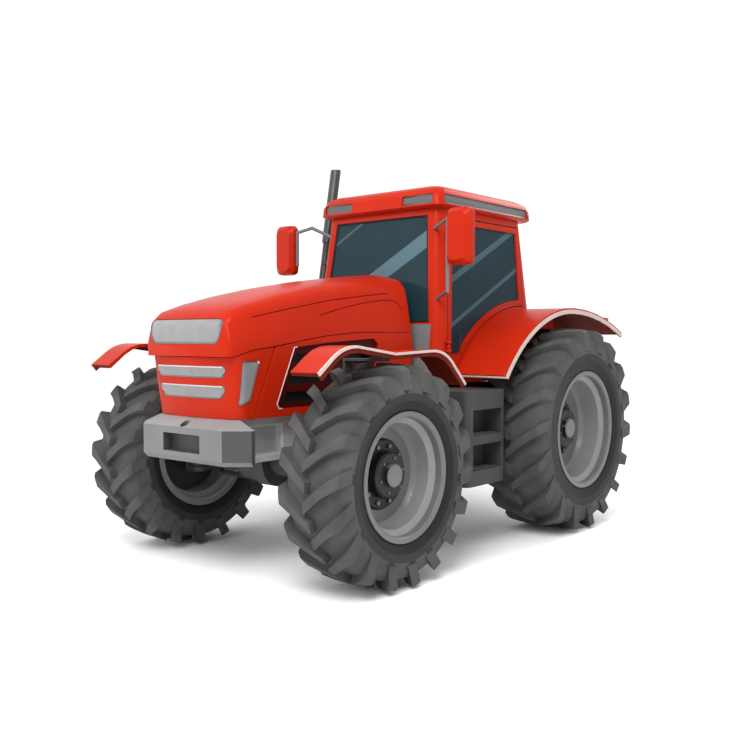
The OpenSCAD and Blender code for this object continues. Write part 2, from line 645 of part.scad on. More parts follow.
// Rear mudguard's side-view line: a tighter arc in front of its crest and a flatter one behind
guard_mid_y = rear_y + 30;
crest_z = rear_hub_z + rear_tyre_r + 170;
front_arc_r = guard_front + 300;
rear_arc_r = 2400;
function rear_guard_line(off) = concat(
    arc(guard_mid_y, crest_z - front_arc_r, front_arc_r + off,
        90 + asin((guard_front + 30) / front_arc_r), 90, 10),
    reversed(arc(guard_mid_y, crest_z - rear_arc_r, rear_arc_r + off,
        90 - asin((guard_tail - 30) / rear_arc_r), 89, 5)));
// Door and window outlines as [y, z]: the lower rear edge follows the mudguard
door_base = max(cab_z0 + 102, crest_z - 508);
door_top = cab_z1 - 65;
glass_base = door_base + 128;
function door_front(z) = rear_y - 1175 + (z - door_base) * 0.115;
function door_line(in, base) = let (r = front_arc_r + 30 + in, cz = crest_z - front_arc_r, rear = rear_y + 22 - in)
    concat([[door_front(base) + in, base]],
        arc(guard_mid_y, cz, r, 180 - asin((base - cz) / r), 90 + asin((guard_mid_y - rear) / r), 8),
        [[rear, door_top - in], [door_front(door_top) + in, door_top - in]]);
module screen_outline(in) {
    low = cab_half_w0 - 135;
    high = cab_half_w1 - 112;
    backwards(rear_y - 1500, rear_y - 900) polygon([
        [-low + in, 1750 + in], [low - in, 1750 + in], [high - in, cab_z1 - 52 - in], [-high + in, cab_z1 - 52 - in]]);
}
module rear_outline(in) {
    low = cab_half_w0 - 160;
    high = cab_half_w1 - 108;
    backwards(rear_y - 100, rear_y + 400) polygon([
        [-low + in, 1960 + in], [low - in, 1960 + in], [high - in, cab_z1 - 52 - in], [-high + in, cab_z1 - 52 - in]]);
}
// Points on the door's hinge line, outside the front post
function hinge_at(z) = [cab_half_w(z) + 20, door_front(z) - 14, z];
hinge_heights = [door_base + 188, door_top - 150];
module cab_frame() {
    color(RED) place() union() {
        difference() {
            cab_solid(0);
            cab_solid(-cab_wall, cab_z0 - 100, cab_z1 + 100);
            across(300, 900) polygon(door_line(-move_gap, door_base - move_gap));
            across(-900, -300) polygon(door_line(48, glass_base));
            screen_outline(0);
            rear_outline(0);
        }
        // Hinge pins for the door
        for (z = hinge_heights) {
            bar(hinge_at(z - 45), hinge_at(z - 22), 23);
            bar(hinge_at(z + 22), hinge_at(z + 45), 23);
            bar(hinge_at(z - 30), hinge_at(z + 30), 7);
        }
    }
}
module cab_floor() {
    color(BLACK) place() cab_solid(-cab_wall - seat_gap, cab_z0, cab_z0 + 30);
}
module door_frame() {
    color(RED) place() difference() {
        union() {
            intersection() {
                difference() { cab_solid(0); cab_solid(-40, cab_z0 - 10, cab_z1 + 10); }
                across(300, 900) polygon(door_line(0, door_base));
            }
            for (z = hinge_heights) {
                bar(hinge_at(z - 15), hinge_at(z + 15), 14);
                bar(hinge_at(z), [cab_half_w(z) - 12, door_front(z) + 26, z], 10);
            }
        }
        across(300, 900) polygon(door_line(48, glass_base));
        for (z = hinge_heights) bar(hinge_at(z - 60), hinge_at(z + 60), 7 + run_gap);
    }
}
module pane(depth) {
    difference() { cab_solid(-depth); cab_solid(-depth - glass_t, cab_z0 - 10, cab_z1 + 10); }
}
module door_glass() {
    color(GLASS) place() intersection() {
        pane(14);
        across(300, 900) polygon(door_line(48 + seat_gap, glass_base + seat_gap));
    }
}
module side_window_right() {
    color(GLASS) place() intersection() {
        pane(14);
        across(-900, -300) polygon(door_line(48 + seat_gap, glass_base + seat_gap));
    }
}
module windscreen() { color(GLASS) place() intersection() { pane(12); screen_outline(seat_gap); } }
module rear_window() { color(GLASS) place() intersection() { pane(12); rear_outline(seat_gap); } }
// Grey panel under the windscreen, with the arms that carry the bonnet's hinge rod
module cowl_panel() {
    color(MID_GREY) place() union() {
        intersection() {
            difference() { cab_solid(9, cab_z0 + 40, 1735); cab_solid(seat_gap); }
            block([110 - cab_half_w0, rear_y - 1500, cab_z0], [cab_half_w0 - 110, rear_y - 1180, 1740]);
        }
        difference() {
            both_sides() {
                block([228, hinge_y - 24, 1640], [252, cab_front_y + 70, 1720]);
                block([228, hinge_y - 14, 1640], [252, hinge_y + 14, hinge_z]);
                cross_cylinder(228, 252, hinge_y, hinge_z, 14);
            }
            cab_solid(seat_gap);
        }
        cross_cylinder(-252, 252, hinge_y, hinge_z, hinge_r);
    }
}

// Roof: a deep cap with grey lamp panels let into its front, sides and rear
function roof_outline(in) = let (w = cab_half_w1 + 49 - in)
    round_rect(-w, w, rear_y - 1220 + in, rear_y + 205 - in, 85);
module roof_solid(g) {
    z = cab_z1 + seat_gap;
    loft_up([[z, roof_outline(20 - g)], [z + 16, roof_outline(-g)], [z + roof_h * 0.5, roof_outline(6 - g)],
        [z + roof_h * 0.82, roof_outline(34 - g)], [z + roof_h + g, roof_outline(92 - g)]]);
}
module roof_recesses(in) {
    z0 = cab_z1 + 28 + in;
    z1 = cab_z1 + 104 - in;
    w = cab_half_w1;
    both_sides() {
        block([w - 328 + in, rear_y - 1300, z0], [w - 28 - in, rear_y - 1100, z1]);
        block([w - 268 + in, rear_y + 100, z0], [w - 38 - in, rear_y + 300, z1]);
    }
    across(-w - 102, 38 - w) polygon([[rear_y - 1140 + in, z1], [rear_y + 100 - in, z1], [rear_y + 122 - in, z0],
        [rear_y - 1152 + in, z0]]);
    across(w - 38, w + 102) polygon([[rear_y - 1140 + in, z1], [rear_y + 100 - in, z1], [rear_y + 122 - in, z0],
        [rear_y - 1152 + in, z0]]);
}
module roof() {
    color(RED) place() difference() {
        roof_solid(0);
        difference() { roof_recesses(0); roof_solid(-30); }
    }
}
module roof_panels() {
    color(MID_GREY) place() difference() {
        intersection() { roof_solid(-8); roof_recesses(seat_gap); }
        roof_solid(-30 + seat_gap);
    }
}

// Rear mudguard: a bent sheet from the cab's side out over the tyre, with a lip and an inner wall
module rear_guard_left() {
    low = rear_guard_line(-guard_t);
    high = rear_guard_line(0);
    wall = [for (p = rear_guard_line(-guard_t + 2)) if (p[0] < rear_y + 620) p];
    color(RED) place() difference() {
        union() {
            across(cab_half_w0 - 50, rear_guard_x) polygon(concat(low, reversed(high)));
            across(rear_guard_x - 14, rear_guard_x) polygon(concat(rear_guard_line(-guard_t - 28), reversed(high)));
            across(cab_half_w0 - 50, cab_half_w0 + 16) polygon(concat(wall, [[rear_y + 560, 1290], [rear_y - 960, 1290]]));
        }
        cab_solid(seat_gap);
        // Space for the battery box and tank in front
        block([600, rear_y - 1400, 900], [1300, rear_y - 880, 1250]);
    }
}
module rear_guard_right() { mirror([1, 0, 0]) rear_guard_left(); }
// Tail lamps that stand on the mudguards' rear ends
module rear_lamps() {
    color(DARK_RED) place() both_sides() difference() {
        block([900, rear_y + 780, crest_z - 230], [1080, rear_y + 850, crest_z - 70]);
        across(600, 1300) polygon(concat(rear_guard_line(seat_gap), [[rear_y + 1100, 900], [rear_y - 1100, 900]]));
    }
}

// Inside the cab: seat on its pedestal, dash with a side console, column and steering wheel
seat_y = rear_y - 330;
floor_z = cab_z0 + 30 + seat_gap;
module seat_base() {
    color(BLACK) place() union() {
        block([-170, seat_y - 150, floor_z], [170, seat_y + 200, floor_z + 170]);
        block([-220, seat_y - 220, floor_z + 150], [220, seat_y + 250, floor_z + 230]);
        block([-150, seat_y + 236, floor_z + 180], [150, seat_y + 262, floor_z + 560]);
    }
}
module seat_cushion() {
    z = floor_z + 230 + seat_gap;
    color(CAST_GREY) place() translate([0, seat_y, z]) loft_up([
        [0, round_rect(-235, 235, -250, 215, 60)], [30, round_rect(-250, 250, -265, 215, 70)],
        [85, round_rect(-245, 245, -260, 212, 70)], [110, round_rect(-215, 215, -230, 195, 60)]]);
}
module seat_back() {
    z = floor_z + 350;
    color(CAST_GREY) place() translate([0, seat_y + 236 - seat_gap, z]) rotate([90, 0, 0]) loft_up([
        [0, round_rect(-225, 225, 0, 520, 80)], [20, round_rect(-240, 240, -6, 535, 90)],
        [75, round_rect(-235, 235, -4, 525, 90)], [100, round_rect(-200, 200, 20, 480, 80)]]);
}
module dash_top(g) {
    translate([0, 0, 1690]) loft_up([
        [0, round_rect(-250 - g, 250 + g, cab_front_y + 130, cab_front_y + 330 + g, 40)],
        [150 + g, round_rect(-210 - g, 210 + g, cab_front_y + 150, cab_front_y + 300 + g, 40)]]);
}
module dash() {
    color(BLACK) place() union() {
        block([-210, cab_front_y + 130, floor_z], [210, cab_front_y + 290, 1700]);
        dash_top(0);
        block([140 - cab_half_w0, seat_y - 260, floor_z], [-330, seat_y + 240, 1640]);
    }
}
wheel_mid = [0, rear_y - 850, 2010];
module steering_wheel() {
    color(BLACK) place() union() {
        difference() {
            bar([0, cab_front_y + 270, 1760], wheel_mid, 30);
            dash_top(seat_gap);
        }
        translate(wheel_mid) rotate([32, 0, 0]) {
            rotate_extrude() translate([195, 0]) circle(r = 15, $fn = 24);
            cylinder(r = 48, h = 36, center = true);
            for (a = [90, 210, 330]) rotate(a) bar([30, 0, 0], [192, 0, 0], 11);
        }
    }
}

// Fuel tank with two steps let into it on the left, and the battery box on the right
module tank_shape(z0, z1) {
    translate([0, 0, z0]) linear_extrude(z1 - z0)
        polygon(round_rect(590, 1075, 930, rear_y - rear_tyre_r - 60, 60, 6));
}
module fuel_tank() {
    color(CAST_GREY) place() union() {
        difference() {
            tank_shape(520, 1235);
            for (z = [640, 900]) block([900, 1000, z], [1100, rear_y - rear_tyre_r - 130, z + 190]);
        }
        for (y = [985, rear_y - rear_tyre_r - 170]) block([225 + seat_gap, y, 700], [620, y + 60, 780]);
    }
}
module battery_box() {
    color(CAST_GREY) place() mirror([1, 0, 0]) union() {
        tank_shape(600, 1180);
        for (y = [985, rear_y - rear_tyre_r - 170]) block([225 + seat_gap, y, 700], [620, y + 60, 780]);
    }
}
// Exhaust: silencer on the battery box, a pipe up beside the front post and an open upright end,
// as one skin through level rings of [middle, radius]
function ring(mid, r, n = 24) = [for (i = [0 : n - 1]) mid + [r * cos(360 / n * i), r * sin(360 / n * i), 0]];
module exhaust() {
    foot = [-cab_half_w0 - 100, rear_y - 1180, 1180 + seat_gap];
    knee = [-cab_half_w0 - 70, rear_y - 985, 2460];
    tip = [-cab_half_w0 - 70, rear_y - 865, 3140];
    up = [0, 0, 1];
    rings = [
        [foot, 80], [foot + 30 * up, 80], [foot + 32 * up, 62], [mix(foot, knee, 0.44), 62],
        [mix(foot, knee, 0.48), 36], [knee, 36], [knee + 20 * up, 38], [knee + 22 * up, 46],
        [tip, 46], [tip, 39], [mix(knee, tip, 0.6), 39]];
    color(CAST_GREY) place() union() {
        loft([for (r = rings) ring(r[0], r[1])]);
        // Clip to the cab's front post
        block([-cab_half_w0 - 65, rear_y - 1050, 2280], [-cab_half_w(2280) - seat_gap, rear_y - 1034, 2310]);
    }
}
// Mirrors: a bracket with two feet on the left, one arched arm on the right
mirror_y = rear_y - 1330;
module tube(points, r) {
    for (i = [0 : len(points) - 2]) bar(points[i], points[i + 1], r);
    for (i = [1 : len(points) - 2]) translate(points[i]) sphere(r = r + 1);
}
module mirror_arms() {
    color(MID_GREY) place() difference() {
        union() {
            tube([[cab_half_w1 - 58, mirror_y + 180, 2490], [800, mirror_y, 2530], [800, mirror_y, 1980],
                [cab_half_w0 - 100, mirror_y + 130, 1930]], 14);
            tube([[58 - cab_half_w1, mirror_y + 180, 2490], [-700, mirror_y + 80, 2580], [-800, mirror_y, 2540],
                [-800, mirror_y, 2250]], 14);
        }
        cab_solid(seat_gap);
    }
}
module mirror_heads() {
    color(RED) place() both_sides() translate([815 + seat_gap, mirror_y, 2390]) difference() {
        rotate([90, 0, 0]) translate([0, 0, -30]) loft_up([
            [0, round_rect(4, 210, -210, 210, 40)], [12, round_rect(0, 216, -216, 216, 45)],
            [60, round_rect(0, 212, -212, 212, 50)], [95, round_rect(25, 180, -180, 180, 50)]]);
        block([16, 22, -196], [200, 60, 196]);
    }
}

front_frame();
engine_block();
gearbox();
rear_axle();
front_axle();
front_bumper();
nose_panel();
nose_lamps();
side_panel_left();
side_panel_right();
side_louvres();
bonnet();
headlamp();
cab_frame();
cab_floor();
cowl_panel();
windscreen();
rear_window();
side_window_right();
door_frame();
door_glass();
roof();
roof_panels();
rear_guard_left();
rear_guard_right();
seat_base();
seat_cushion();
seat_back();
dash();
steering_wheel();
fuel_tank();
battery_box();
exhaust();
mirror_arms();
mirror_heads();
rear_lamps();
tyre_front_left();
tyre_front_right();
tyre_rear_left();
tyre_rear_right();
rim_front_left();
rim_front_right();
rim_rear_left();
rim_rear_right();
knuckle_left();
knuckle_right();
front_guard_left();
front_guard_right();
tie_rod();
drawbar();
lift_arms();
lift_rods();
lower_links();
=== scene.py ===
# %% [markdown]
# # A farm tractor, dressed for its picture
# The construction model gives every piece its true place and size. This lesson imports it, gives
# each piece a skin and a finish, and adds what a drawing office leaves out: trim, bolts, seals,
# lenses and a soft seat. Wheels and hinges take their places from the model's own joints. Other
# lengths are millimetres, counted from the ground under the front axle.

# %% Load the construction model
import bpy, bmesh, json, math
from mathutils import Vector, Matrix
from mathutils.bvhtree import BVHTree


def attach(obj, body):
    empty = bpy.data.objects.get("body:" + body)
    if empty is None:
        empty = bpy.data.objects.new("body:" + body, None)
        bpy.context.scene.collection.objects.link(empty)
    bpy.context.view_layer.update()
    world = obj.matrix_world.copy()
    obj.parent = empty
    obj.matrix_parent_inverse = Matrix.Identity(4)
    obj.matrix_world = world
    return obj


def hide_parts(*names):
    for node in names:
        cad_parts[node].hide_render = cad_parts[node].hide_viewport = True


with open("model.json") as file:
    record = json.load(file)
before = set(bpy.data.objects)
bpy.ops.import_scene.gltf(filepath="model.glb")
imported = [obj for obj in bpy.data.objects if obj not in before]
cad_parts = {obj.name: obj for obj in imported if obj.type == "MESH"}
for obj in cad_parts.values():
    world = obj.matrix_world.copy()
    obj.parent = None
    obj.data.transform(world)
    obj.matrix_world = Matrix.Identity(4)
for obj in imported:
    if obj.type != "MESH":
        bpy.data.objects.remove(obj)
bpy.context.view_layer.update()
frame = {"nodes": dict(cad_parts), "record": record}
nodes = frame["nodes"]
record = frame["record"]
behaviour = record["behaviour"]
body_of = {n: b for b, names in behaviour["bodies"].items() for n in names}
slot_of = {p["node"]: p["material_slot"] for p in record["subparts"]}
joint_mm = {j["name"]: [1000 * c for c in j["pos_m"]] for j in behaviour["joints"]}
FRONT_AXLE_Y = joint_mm["wheel_front_left_spin"][1]
SIDES = ((1, "left"), (-1, "right"))


def at(x, y, z):
    return Vector((x / 1000, (y + FRONT_AXLE_Y) / 1000, z / 1000))


def joint(name):
    x, y, z = joint_mm[name]
    return x, y - FRONT_AXLE_Y, z


print("pieces in the model:", len(nodes), "joints:", len(joint_mm))

# %% [markdown]
# ## How a finish is made
# Paint, rubber and cast iron differ in colour, but also in how evenly they carry it. A painted
# picture of each would have to be unwrapped piece by piece. Here, two noise textures in object space
# do the work instead: a broad one fades the colour, as dust does, and a fine one varies the roughness.

# %% A finish
ROUGH_SPREAD = 0.08
COAT_ROUGH = 0.12
BUMP_HEIGHT = 0.004


def finish(name, colour, rough=0.45, metal=0.0, vary=0.12, scale=6.0, bump=0.0, fine=60.0,
           coat=0.0, through=0.0, shine=0.3):
    m = bpy.data.materials.new(name)
    m.use_nodes = True
    t = m.node_tree
    b = t.nodes["Principled BSDF"]
    where = t.nodes.new("ShaderNodeTexCoord")
    broad = t.nodes.new("ShaderNodeTexNoise")
    broad.inputs["Scale"].default_value = scale
    broad.inputs["Detail"].default_value = 5
    fade = t.nodes.new("ShaderNodeValToRGB")
    dark, pale = fade.color_ramp.elements
    dark.position = 0.3
    pale.position = 0.72
    dark.color = (*[c * (1 - vary) for c in colour], 1)
    pale.color = (*[min(1, c * (1 + vary) + 0.01 * vary) for c in colour], 1)
    t.links.new(where.outputs["Object"], broad.inputs["Vector"])
    t.links.new(broad.outputs["Fac"], fade.inputs["Fac"])
    t.links.new(fade.outputs["Color"], b.inputs["Base Color"])
    grain = t.nodes.new("ShaderNodeTexNoise")
    grain.inputs["Scale"].default_value = fine
    t.links.new(where.outputs["Object"], grain.inputs["Vector"])
    spread = t.nodes.new("ShaderNodeMapRange")
    spread.inputs["To Min"].default_value = max(0.02, rough - ROUGH_SPREAD)
    spread.inputs["To Max"].default_value = min(1, rough + ROUGH_SPREAD)
    t.links.new(grain.outputs["Fac"], spread.inputs["Value"])
    t.links.new(spread.outputs["Result"], b.inputs["Roughness"])
    if bump:
        lift = t.nodes.new("ShaderNodeBump")
        lift.inputs["Strength"].default_value = bump
        lift.inputs["Distance"].default_value = BUMP_HEIGHT
        t.links.new(grain.outputs["Fac"], lift.inputs["Height"])
        t.links.new(lift.outputs["Normal"], b.inputs["Normal"])
    b.inputs["Metallic"].default_value = metal
    b.inputs["Specular IOR Level"].default_value = shine
    b.inputs["Coat Weight"].default_value = coat
    b.inputs["Coat Roughness"].default_value = COAT_ROUGH
    b.inputs["Transmission Weight"].default_value = through
    return m


print("roughness varies by", ROUGH_SPREAD)

# %% [markdown]
# ## Paint, metal and lamps
# The panels are sprayed red, the wheels and the bumper grey, and the castings are nearly black. One
# material with many switches could serve them all, but a list with one line for each finish is
# easier to read and to change. The red keeps its depth because it mirrors little of the white room.
# Creases and louvres are the same red, only darker, because they lie in their own shade.

# %% Paint, metal and lamps
PAINTS = {
    "red_paint": dict(colour=(0.40, 0.016, 0.003), rough=0.33, vary=0.05, scale=3, coat=0.04, shine=0.06),
    "crease": dict(colour=(0.13, 0.003, 0.0012), rough=0.5, vary=0.05, shine=0.05),
    "louvre": dict(colour=(0.055, 0.0012, 0.001), rough=0.5, shine=0.1),
    # painted shade: guard undersides, front guards' outer lip and the flaps
    "under": dict(colour=(0.115, 0.012, 0.005), rough=0.8, vary=0.15, shine=0.05),
    # painted highlight: the pale strips on guard edges, guard feet and louvre openings
    "trim": dict(colour=(0.52, 0.40, 0.38), rough=0.4, vary=0.05, scale=8),
    "grey_panel": dict(colour=(0.085, 0.087, 0.086), rough=0.5, vary=0.08, bump=0.05, fine=240),
    "bumper_paint": dict(colour=(0.15, 0.15, 0.152), vary=0.08, scale=4, bump=0.04, fine=160),
    # painted shade for the bumper's slanting ends and pocket, painted highlight for its top
    "bumper_shade": dict(colour=(0.052, 0.053, 0.053), rough=0.5, vary=0.08, scale=4, bump=0.04, fine=160),
    "bumper_highlight": dict(colour=(0.23, 0.23, 0.232), rough=0.42, vary=0.08, scale=4, bump=0.04, fine=160),
    "frame_paint": dict(colour=(0.42, 0.42, 0.423), rough=0.5, vary=0.1, scale=5, bump=0.06, fine=160),
    "rim_paint": dict(colour=(0.135, 0.135, 0.137), rough=0.36, vary=0.08, scale=5, coat=0.15),
    # painted highlight: the paler ring on the rim's barrel
    "rim_barrel_highlight": dict(colour=(0.21, 0.21, 0.213), rough=0.34, vary=0.06, scale=5, coat=0.15),
    "rim_edge": dict(colour=(0.12, 0.12, 0.122), rough=0.36, vary=0.06, scale=5, coat=0.15),
    "hub": dict(colour=(0.013, 0.013, 0.014), vary=0.15, scale=9, bump=0.08, fine=150),
    "casting": dict(colour=(0.045, 0.046, 0.048), rough=0.6, vary=0.2, scale=9, bump=0.16, fine=150),
    "bolt": dict(colour=(0.16, 0.16, 0.165), rough=0.38, metal=0.7, vary=0.15, scale=30),
    "exhaust_steel": dict(colour=(0.06, 0.06, 0.06), rough=0.42, metal=0.5, vary=0.25, scale=7),
    "silver": dict(colour=(0.62, 0.64, 0.66), rough=0.12, metal=0.9, vary=0.04, scale=10),
    "mirror_arm": dict(colour=(0.13, 0.13, 0.13), vary=0.08),
    "lamp": dict(colour=(0.19, 0.19, 0.195), rough=0.25, vary=0.06, scale=14, coat=0.2),
    "tail_lamp": dict(colour=(0.25, 0.006, 0.005), rough=0.2, vary=0.08, coat=0.6),
    # lamp frames: painted highlight above the lens, painted shade below it and round the roof panels
    "bezel": dict(colour=(0.55, 0.55, 0.555), rough=0.3, vary=0.05, scale=8, coat=0.3),
    "bezel_shade": dict(colour=(0.075, 0.075, 0.077), rough=0.35, vary=0.05, scale=8, coat=0.2),
}
looks = {name: finish(name, **settings) for name, settings in PAINTS.items()}
print("hard finishes:", len(looks))

# %% [markdown]
# ## Rubber, plastic and cloth
# Tyres, seals, the tank and the seat are matt, and dust clings to them unevenly. Modelled grain
# would cost millions of faces, so a bump lifts the light by the fine noise instead: strong on the
# seat's cloth, weak on moulded plastic.

# %% Rubber, plastic and cloth
SOFT_STUFFS = {
    "tyre": dict(colour=(0.060, 0.060, 0.058), rough=0.82, vary=0.22, scale=5, bump=0.16, fine=190),
    "wall": dict(colour=(0.011, 0.011, 0.011), rough=0.6, scale=9, bump=0.05, fine=120, shine=0.2),
    "wall_outer": dict(colour=(0.028, 0.028, 0.027), rough=0.7, vary=0.15, scale=7, bump=0.08, fine=150,
                       shine=0.2),
    "seal": dict(colour=(0.012, 0.012, 0.013), rough=0.7, vary=0.1, bump=0.08, fine=200),
    "cab_plastic": dict(colour=(0.022, 0.022, 0.023), rough=0.55, vary=0.1, bump=0.1, fine=300),
    "tank_plastic": dict(colour=(0.040, 0.040, 0.041), rough=0.55, vary=0.1, bump=0.08, fine=260),
    "seat_cloth": dict(colour=(0.055, 0.056, 0.06), rough=0.9, vary=0.25, scale=120, bump=0.4, fine=500),
}
looks.update({name: finish(name, **settings) for name, settings in SOFT_STUFFS.items()})
print("finishes:", len(looks))

# %% [markdown]
# ## Glass
# The cab's panes are tinted so strongly that little of the inside shows, and pale reflections run
# across them in slanting bands, painted into the glass's colour. Strips of mesh would shimmer on the
# panes, so the bands are in the material: height less the run across the pane picks a step of a colour
# ramp. Each band has its lower and upper edge in metres, and its strength.

# %% Glass
SLANT = (-0.55, -0.5, 1.0)
BAND_SPAN = 5.0
# colour of the pale bands, painted reflections mixed into the glass's colour
REFLECTION_TINT = (0.085, 0.15, 0.185, 1)
PANE_BANDS = [(1.315, 1.365, 0.6), (1.675, 1.725, 0.6)]
SCREEN_BANDS = [(2.0975, 2.245, 1), (2.705, 2.7275, 0.6)]


def glass(name, bands):
    m = finish(name, (0.013, 0.032, 0.042), 0.09, vary=0.1, scale=1.2, through=0.12, shine=0.03)
    t = m.node_tree
    b = t.nodes["Principled BSDF"]
    plain = b.inputs["Base Color"].links[0].from_socket
    where = next(n for n in t.nodes if n.type == "TEX_COORD")
    slant = t.nodes.new("ShaderNodeVectorMath")
    slant.operation = "DOT_PRODUCT"
    slant.inputs[1].default_value = SLANT
    t.links.new(where.outputs["Object"], slant.inputs[0])
    ramp = t.nodes.new("ShaderNodeValToRGB")
    steps = ramp.color_ramp
    steps.interpolation = "CONSTANT"
    stops = [(0.0, 0)]
    for low, high, strength in bands:
        stops += [(low / BAND_SPAN, strength), (high / BAND_SPAN, 0)]
    while len(steps.elements) < len(stops):
        steps.elements.new(0.5)
    for e, (place, v) in zip(steps.elements, stops):
        e.position = place
        e.color = (v, v, v, 1)
    scaled = t.nodes.new("ShaderNodeMapRange")
    scaled.inputs["From Max"].default_value = BAND_SPAN
    t.links.new(slant.outputs["Value"], scaled.inputs["Value"])
    t.links.new(scaled.outputs["Result"], ramp.inputs["Fac"])
    # mixes the painted reflection bands into the glass's colour
    reflection = t.nodes.new("ShaderNodeMix")
    reflection.data_type = "RGBA"
    t.links.new(ramp.outputs["Color"], reflection.inputs[0])
    t.links.new(plain, reflection.inputs[6])
    reflection.inputs[7].default_value = REFLECTION_TINT
    t.links.new(reflection.outputs[2], b.inputs["Base Color"])
    return m


looks["glass"] = glass("glass", PANE_BANDS)
looks["screen_glass"] = glass("screen_glass", SCREEN_BANDS)
print("bands in the glass:", len(PANE_BANDS) + len(SCREEN_BANDS))

# %% [markdown]
# ## From construction mesh to skin
# Sheet metal and castings have no knife edges, but the imported meshes do. Subdivision would round
# the flat panels too, so the flat triangles are dissolved into whole faces, corners sharper than 35
# degrees stay marked, and a small bevel lets them catch the light. Each skin stands for its node
# and moves with the same body. The bumper's two folded rear corners are laid flat on the way.

# %% One skin
FLAT = math.radians(0.6)
SHARP = math.radians(35)
WELD = 1e-5
BUMPER_CORNER = at(416, -690, 0)
EAR_X, EAR_Z = 0.45, 1.1


def put(obj, look, body):
    obj.data.materials.clear()
    obj.data.materials.append(looks[look])
    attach(obj, body)
    return obj


def mark_edges(b):
    for f in b.faces:
        f.smooth = True
    for e in b.edges:
        e.smooth = len(e.link_faces) == 2 and e.calc_face_angle(0) < SHARP


def unfold_bumper(b):
    for v in b.verts:
        if v.co.z > EAR_Z and abs(v.co.x) > EAR_X:
            v.co.x = math.copysign(BUMPER_CORNER.x, v.co.x)
            v.co.y = BUMPER_CORNER.y
    bmesh.ops.remove_doubles(b, verts=b.verts, dist=WELD)
    bmesh.ops.dissolve_degenerate(b, dist=WELD, edges=b.edges)


def skin(node, look, bevel):
    mesh = nodes[node].data.copy()
    b = bmesh.new()
    b.from_mesh(mesh)
    bmesh.ops.remove_doubles(b, verts=b.verts, dist=WELD)
    if node == "front_bumper":
        unfold_bumper(b)
    bmesh.ops.dissolve_limit(b, angle_limit=FLAT, verts=b.verts, edges=b.edges)
    mark_edges(b)
    b.to_mesh(mesh)
    b.free()
    obj = bpy.data.objects.new(node + "_skin", mesh)
    bpy.context.scene.collection.objects.link(obj)
    m = obj.modifiers.new("edge", "BEVEL")
    m.width = bevel
    m.segments = 2
    m.limit_method = "ANGLE"
    m.angle_limit = SHARP
    m.harden_normals = True
    put(obj, look, body_of[node])
    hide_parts(node)
    return obj


print("corners stay sharp from", round(math.degrees(SHARP)), "degrees")

# %% [markdown]
# ## Skins for every piece
# Thick castings and moulded tanks have rounder edges than sheet metal, and glass is cut almost
# sharp. One width for all would make the panes soft or the castings hard, so a short table holds the
# widths that differ. The two cushions are left out, because they get a softer shape later.

# %% All skins
PADS = ("seat_cushion", "seat_back")
PLAIN_EDGE, HEAVY_EDGE, TYRE_EDGE, GLASS_EDGE = 0.003, 0.012, 0.007, 0.001
BEVELS = {"bonnet": 0.005, "cab_frame": 0.008, "roof": 0.008, "rear_axle": 0.006, "dash": 0.01,
          "mirror_heads": 0.008}
HEAVY = ("front_bumper", "gearbox", "engine_block", "front_frame", "fuel_tank", "battery_box", "seat_base")
BEVELS.update({n: HEAVY_EDGE for n in HEAVY})
OTHER_LOOKS = {"front_frame": "frame_paint", "windscreen": "screen_glass", "cowl_panel": "bumper_paint"}


def bevel_of(node):
    if node.startswith("tyre"):
        return TYRE_EDGE
    if node.endswith(("glass", "window", "screen")):
        return GLASS_EDGE
    return BEVELS.get(node, PLAIN_EDGE)


skins = {n: skin(n, OTHER_LOOKS.get(n, slot_of[n]), bevel_of(n)) for n in nodes if n not in PADS}
print("skins:", len(skins))

# %% [markdown]
# ## Tyres and rims
# A worn tread is grey, while the side walls stay black. A rim is grey, with a nearly black hub, a
# paler ring on its barrel that is a painted highlight, and a slightly darker outer edge. The parts could
# be cut apart, but one pass over the faces is enough: the mean of a face's nearest and farthest corner
# from the axle picks its finish.

# %% Wheel finishes
RIMS = {"front": (400, -15, 155), "rear": (465, -20, 170)}  # rim's radius, disc's offset, hub's radius
LUG_HEIGHT = 58
BLACK_WALL, WALL_END = 0.36, 0.6  # shares of the wall's height
CAP_SHARE, HUB_FLANGE = 0.5, 85
BARREL_IN, BARREL_OUT = 82, 20
OUTERMOST = 9999


def by_radius(obj, mid, bands):
    mesh = obj.data
    mesh.materials.clear()
    for limit, look in bands:
        mesh.materials.append(looks[look])
    reach = [1000 * math.hypot(v.co.y - mid.y, v.co.z - mid.z) for v in mesh.vertices]
    for f in mesh.polygons:
        radii = [reach[v] for v in f.vertices]
        far = (min(radii) + max(radii)) / 2
        f.material_index = next(k for k, (limit, look) in enumerate(bands) if far < limit)


for end, (rim, disc, hub) in RIMS.items():
    for side, hand in SIDES:
        wheel = end + "_" + hand
        x, y, r = joint("wheel_%s_spin" % wheel)
        wall = r - LUG_HEIGHT - rim
        by_radius(skins["tyre_" + wheel], at(x, y, r), [
            (rim + BLACK_WALL * wall, "wall"), (rim + WALL_END * wall, "wall_outer"), (OUTERMOST, "tyre")])
        # the barrel's paler ring is a painted highlight
        by_radius(skins["rim_" + wheel], at(x, y, r), [
            (hub * CAP_SHARE, "rim_paint"), (hub + HUB_FLANGE, "hub"), (rim - BARREL_IN, "rim_paint"),
            (rim - BARREL_OUT, "rim_barrel_highlight"), (OUTERMOST, "rim_edge")])
print("wheels painted:", len(RIMS) * len(SIDES))

# %% [markdown]
# ## Wheel nuts and valves
# Ten nuts hold each wheel on its hub, six bolts close the hub's cap, and a valve sticks out of the
# rim. A screw thread would never show here, so each is a six-sided or round cone that narrows a
# little. All those of one ring are one mesh, which keeps the list of pieces short.

# %% Nuts and valves
NUTS_OUT, CAP_OUT, VALVE_OUT = 30, 104, 60  # how far each stands out from the wheel's disc
TAPER = 0.94


